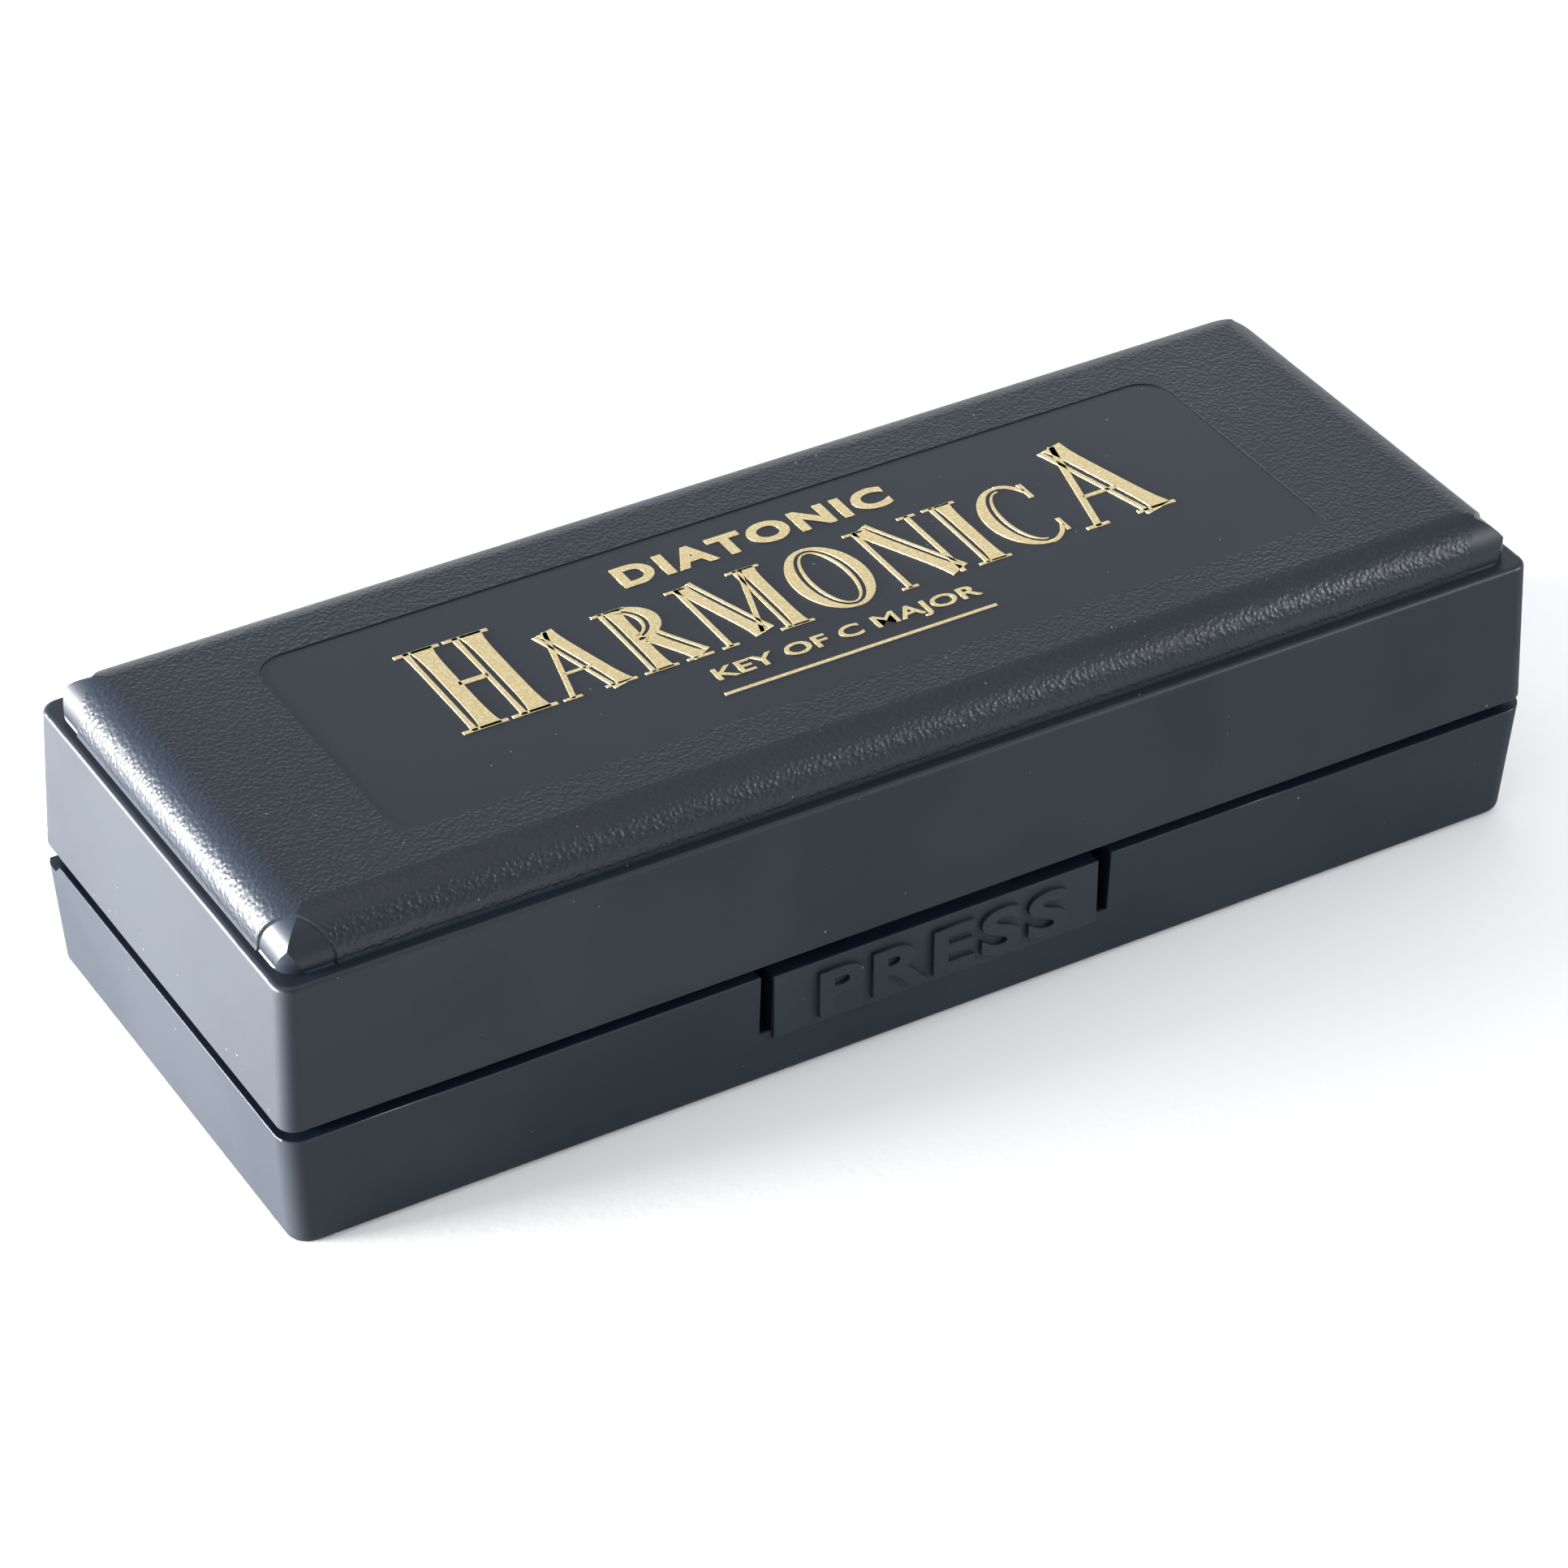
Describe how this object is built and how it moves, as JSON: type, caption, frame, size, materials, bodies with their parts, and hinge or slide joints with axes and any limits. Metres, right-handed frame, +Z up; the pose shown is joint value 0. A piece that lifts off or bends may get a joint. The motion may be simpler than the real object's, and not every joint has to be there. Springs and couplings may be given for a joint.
{
  "type": "diatonic harmonica in hinged case",
  "caption": "Pocket diatonic harmonica inside a closed hinged plastic case with a padded-look lid, rear hinges and a front press latch.",
  "frame": {"origin": "centre of the case's underside", "axes": "+X along the case towards the high notes, -Y towards the latch and the mouth holes, +Z up"},
  "size_m": [0.1212, 0.0463, 0.0303],
  "materials": {
    "case_plastic": "fine pebble grain, satin",
    "lid_plastic": "fine pebble grain, satin, smooth label panel",
    "latch_plastic": "fine pebble grain, satin",
    "comb_plastic": "smooth satin",
    "plate_brass": "rolled",
    "reed_brass": "filed",
    "cover_steel": "polished",
    "label_foil": "hot-stamped foil lettering",
    "fastener_steel": "plated"
  },
  "bodies": {
    "base": {"case_base": "case_plastic", "hinge_pin_left": "fastener_steel", "hinge_pin_right": "fastener_steel", "comb": "comb_plastic", "reed_plate_upper": "plate_brass", "reed_plate_lower": "plate_brass", "cover_upper": "cover_steel", "cover_lower": "cover_steel", "cover_bolts": "fastener_steel", "cover_nuts": "fastener_steel", "reed_plate_screws": "fastener_steel", "blow_reed_pads": "reed_brass", "blow_reed_rivets": "plate_brass", "draw_reed_pads": "reed_brass", "draw_reed_rivets": "plate_brass"},
    "lid": {"case_lid": "lid_plastic"},
    "latch": {"latch_tab": "latch_plastic"},
    "reed_blow_01": {"blow_reed_01": "reed_brass"},
    "reed_blow_02": {"blow_reed_02": "reed_brass"},
    "reed_blow_03": {"blow_reed_03": "reed_brass"},
    "reed_blow_04": {"blow_reed_04": "reed_brass"},
    "reed_blow_05": {"blow_reed_05": "reed_brass"},
    "reed_blow_06": {"blow_reed_06": "reed_brass"},
    "reed_blow_07": {"blow_reed_07": "reed_brass"},
    "reed_blow_08": {"blow_reed_08": "reed_brass"},
    "reed_blow_09": {"blow_reed_09": "reed_brass"},
    "reed_blow_10": {"blow_reed_10": "reed_brass"},
    "reed_draw_01": {"draw_reed_01": "reed_brass"},
    "reed_draw_02": {"draw_reed_02": "reed_brass"},
    "reed_draw_03": {"draw_reed_03": "reed_brass"},
    "reed_draw_04": {"draw_reed_04": "reed_brass"},
    "reed_draw_05": {"draw_reed_05": "reed_brass"},
    "reed_draw_06": {"draw_reed_06": "reed_brass"},
    "reed_draw_07": {"draw_reed_07": "reed_brass"},
    "reed_draw_08": {"draw_reed_08": "reed_brass"},
    "reed_draw_09": {"draw_reed_09": "reed_brass"},
    "reed_draw_10": {"draw_reed_10": "reed_brass"}
  },
  "joints": [
    {"name": "lid_hinge", "type": "hinge", "parent": "base", "child": "lid", "pos_m": [0, 0.02175, 0.0115], "axis": [-1, 0, 0], "range_deg": [0, 100]},
    {"name": "latch_tab_flex", "type": "hinge", "parent": "base", "child": "latch", "pos_m": [0, -0.0223, 0.00555], "axis": [-1, 0, 0], "range_deg": [0, 6], "stiffness_Nm_per_rad": 0.12},
    {"name": "reed_blow_01", "type": "hinge", "parent": "base", "child": "reed_blow_01", "pos_m": [-0.03375, 0.0065, 0.0184], "axis": [1, 0, 0], "range_deg": [-3, 3], "stiffness_Nm_per_rad": 0.00121},
    {"name": "reed_blow_02", "type": "hinge", "parent": "base", "child": "reed_blow_02", "pos_m": [-0.02625, 0.00583, 0.0184], "axis": [1, 0, 0], "range_deg": [-3, 3], "stiffness_Nm_per_rad": 0.001055},
    {"name": "reed_blow_03", "type": "hinge", "parent": "base", "child": "reed_blow_03", "pos_m": [-0.01875, 0.00517, 0.0184], "axis": [1, 0, 0], "range_deg": [-3, 3], "stiffness_Nm_per_rad": 0.000915},
    {"name": "reed_blow_04", "type": "hinge", "parent": "base", "child": "reed_blow_04", "pos_m": [-0.01125, 0.0045, 0.0184], "axis": [1, 0, 0], "range_deg": [-3, 3], "stiffness_Nm_per_rad": 0.000787},
    {"name": "reed_blow_05", "type": "hinge", "parent": "base", "child": "reed_blow_05", "pos_m": [-0.00375, 0.00383, 0.0184], "axis": [1, 0, 0], "range_deg": [-3, 3], "stiffness_Nm_per_rad": 0.000672},
    {"name": "reed_blow_06", "type": "hinge", "parent": "base", "child": "reed_blow_06", "pos_m": [0.00375, 0.00317, 0.0184], "axis": [1, 0, 0], "range_deg": [-3, 3], "stiffness_Nm_per_rad": 0.000569},
    {"name": "reed_blow_07", "type": "hinge", "parent": "base", "child": "reed_blow_07", "pos_m": [0.01125, 0.0025, 0.0184], "axis": [1, 0, 0], "range_deg": [-3, 3], "stiffness_Nm_per_rad": 0.000477},
    {"name": "reed_blow_08", "type": "hinge", "parent": "base", "child": "reed_blow_08", "pos_m": [0.01875, 0.00183, 0.0184], "axis": [1, 0, 0], "range_deg": [-3, 3], "stiffness_Nm_per_rad": 0.000395},
    {"name": "reed_blow_09", "type": "hinge", "parent": "base", "child": "reed_blow_09", "pos_m": [0.02625, 0.00117, 0.0184], "axis": [1, 0, 0], "range_deg": [-3, 3], "stiffness_Nm_per_rad": 0.000324},
    {"name": "reed_blow_10", "type": "hinge", "parent": "base", "child": "reed_blow_10", "pos_m": [0.03375, 0.0005, 0.0184], "axis": [1, 0, 0], "range_deg": [-3, 3], "stiffness_Nm_per_rad": 0.000261},
    {"name": "reed_draw_01", "type": "hinge", "parent": "base", "child": "reed_draw_01", "pos_m": [-0.03375, -0.008, 0.01095], "axis": [-1, 0, 0], "range_deg": [-3, 3], "stiffness_Nm_per_rad": 0.00121},
    {"name": "reed_draw_02", "type": "hinge", "parent": "base", "child": "reed_draw_02", "pos_m": [-0.02625, -0.008, 0.01095], "axis": [-1, 0, 0], "range_deg": [-3, 3], "stiffness_Nm_per_rad": 0.001055},
    {"name": "reed_draw_03", "type": "hinge", "parent": "base", "child": "reed_draw_03", "pos_m": [-0.01875, -0.008, 0.01095], "axis": [-1, 0, 0], "range_deg": [-3, 3], "stiffness_Nm_per_rad": 0.000915},
    {"name": "reed_draw_04", "type": "hinge", "parent": "base", "child": "reed_draw_04", "pos_m": [-0.01125, -0.008, 0.01095], "axis": [-1, 0, 0], "range_deg": [-3, 3], "stiffness_Nm_per_rad": 0.000787},
    {"name": "reed_draw_05", "type": "hinge", "parent": "base", "child": "reed_draw_05", "pos_m": [-0.00375, -0.008, 0.01095], "axis": [-1, 0, 0], "range_deg": [-3, 3], "stiffness_Nm_per_rad": 0.000672},
    {"name": "reed_draw_06", "type": "hinge", "parent": "base", "child": "reed_draw_06", "pos_m": [0.00375, -0.008, 0.01095], "axis": [-1, 0, 0], "range_deg": [-3, 3], "stiffness_Nm_per_rad": 0.000569},
    {"name": "reed_draw_07", "type": "hinge", "parent": "base", "child": "reed_draw_07", "pos_m": [0.01125, -0.008, 0.01095], "axis": [-1, 0, 0], "range_deg": [-3, 3], "stiffness_Nm_per_rad": 0.000477},
    {"name": "reed_draw_08", "type": "hinge", "parent": "base", "child": "reed_draw_08", "pos_m": [0.01875, -0.008, 0.01095], "axis": [-1, 0, 0], "range_deg": [-3, 3], "stiffness_Nm_per_rad": 0.000395},
    {"name": "reed_draw_09", "type": "hinge", "parent": "base", "child": "reed_draw_09", "pos_m": [0.02625, -0.008, 0.01095], "axis": [-1, 0, 0], "range_deg": [-3, 3], "stiffness_Nm_per_rad": 0.000324},
    {"name": "reed_draw_10", "type": "hinge", "parent": "base", "child": "reed_draw_10", "pos_m": [0.03375, -0.008, 0.01095], "axis": [-1, 0, 0], "range_deg": [-3, 3], "stiffness_Nm_per_rad": 0.000261}
  ]
}
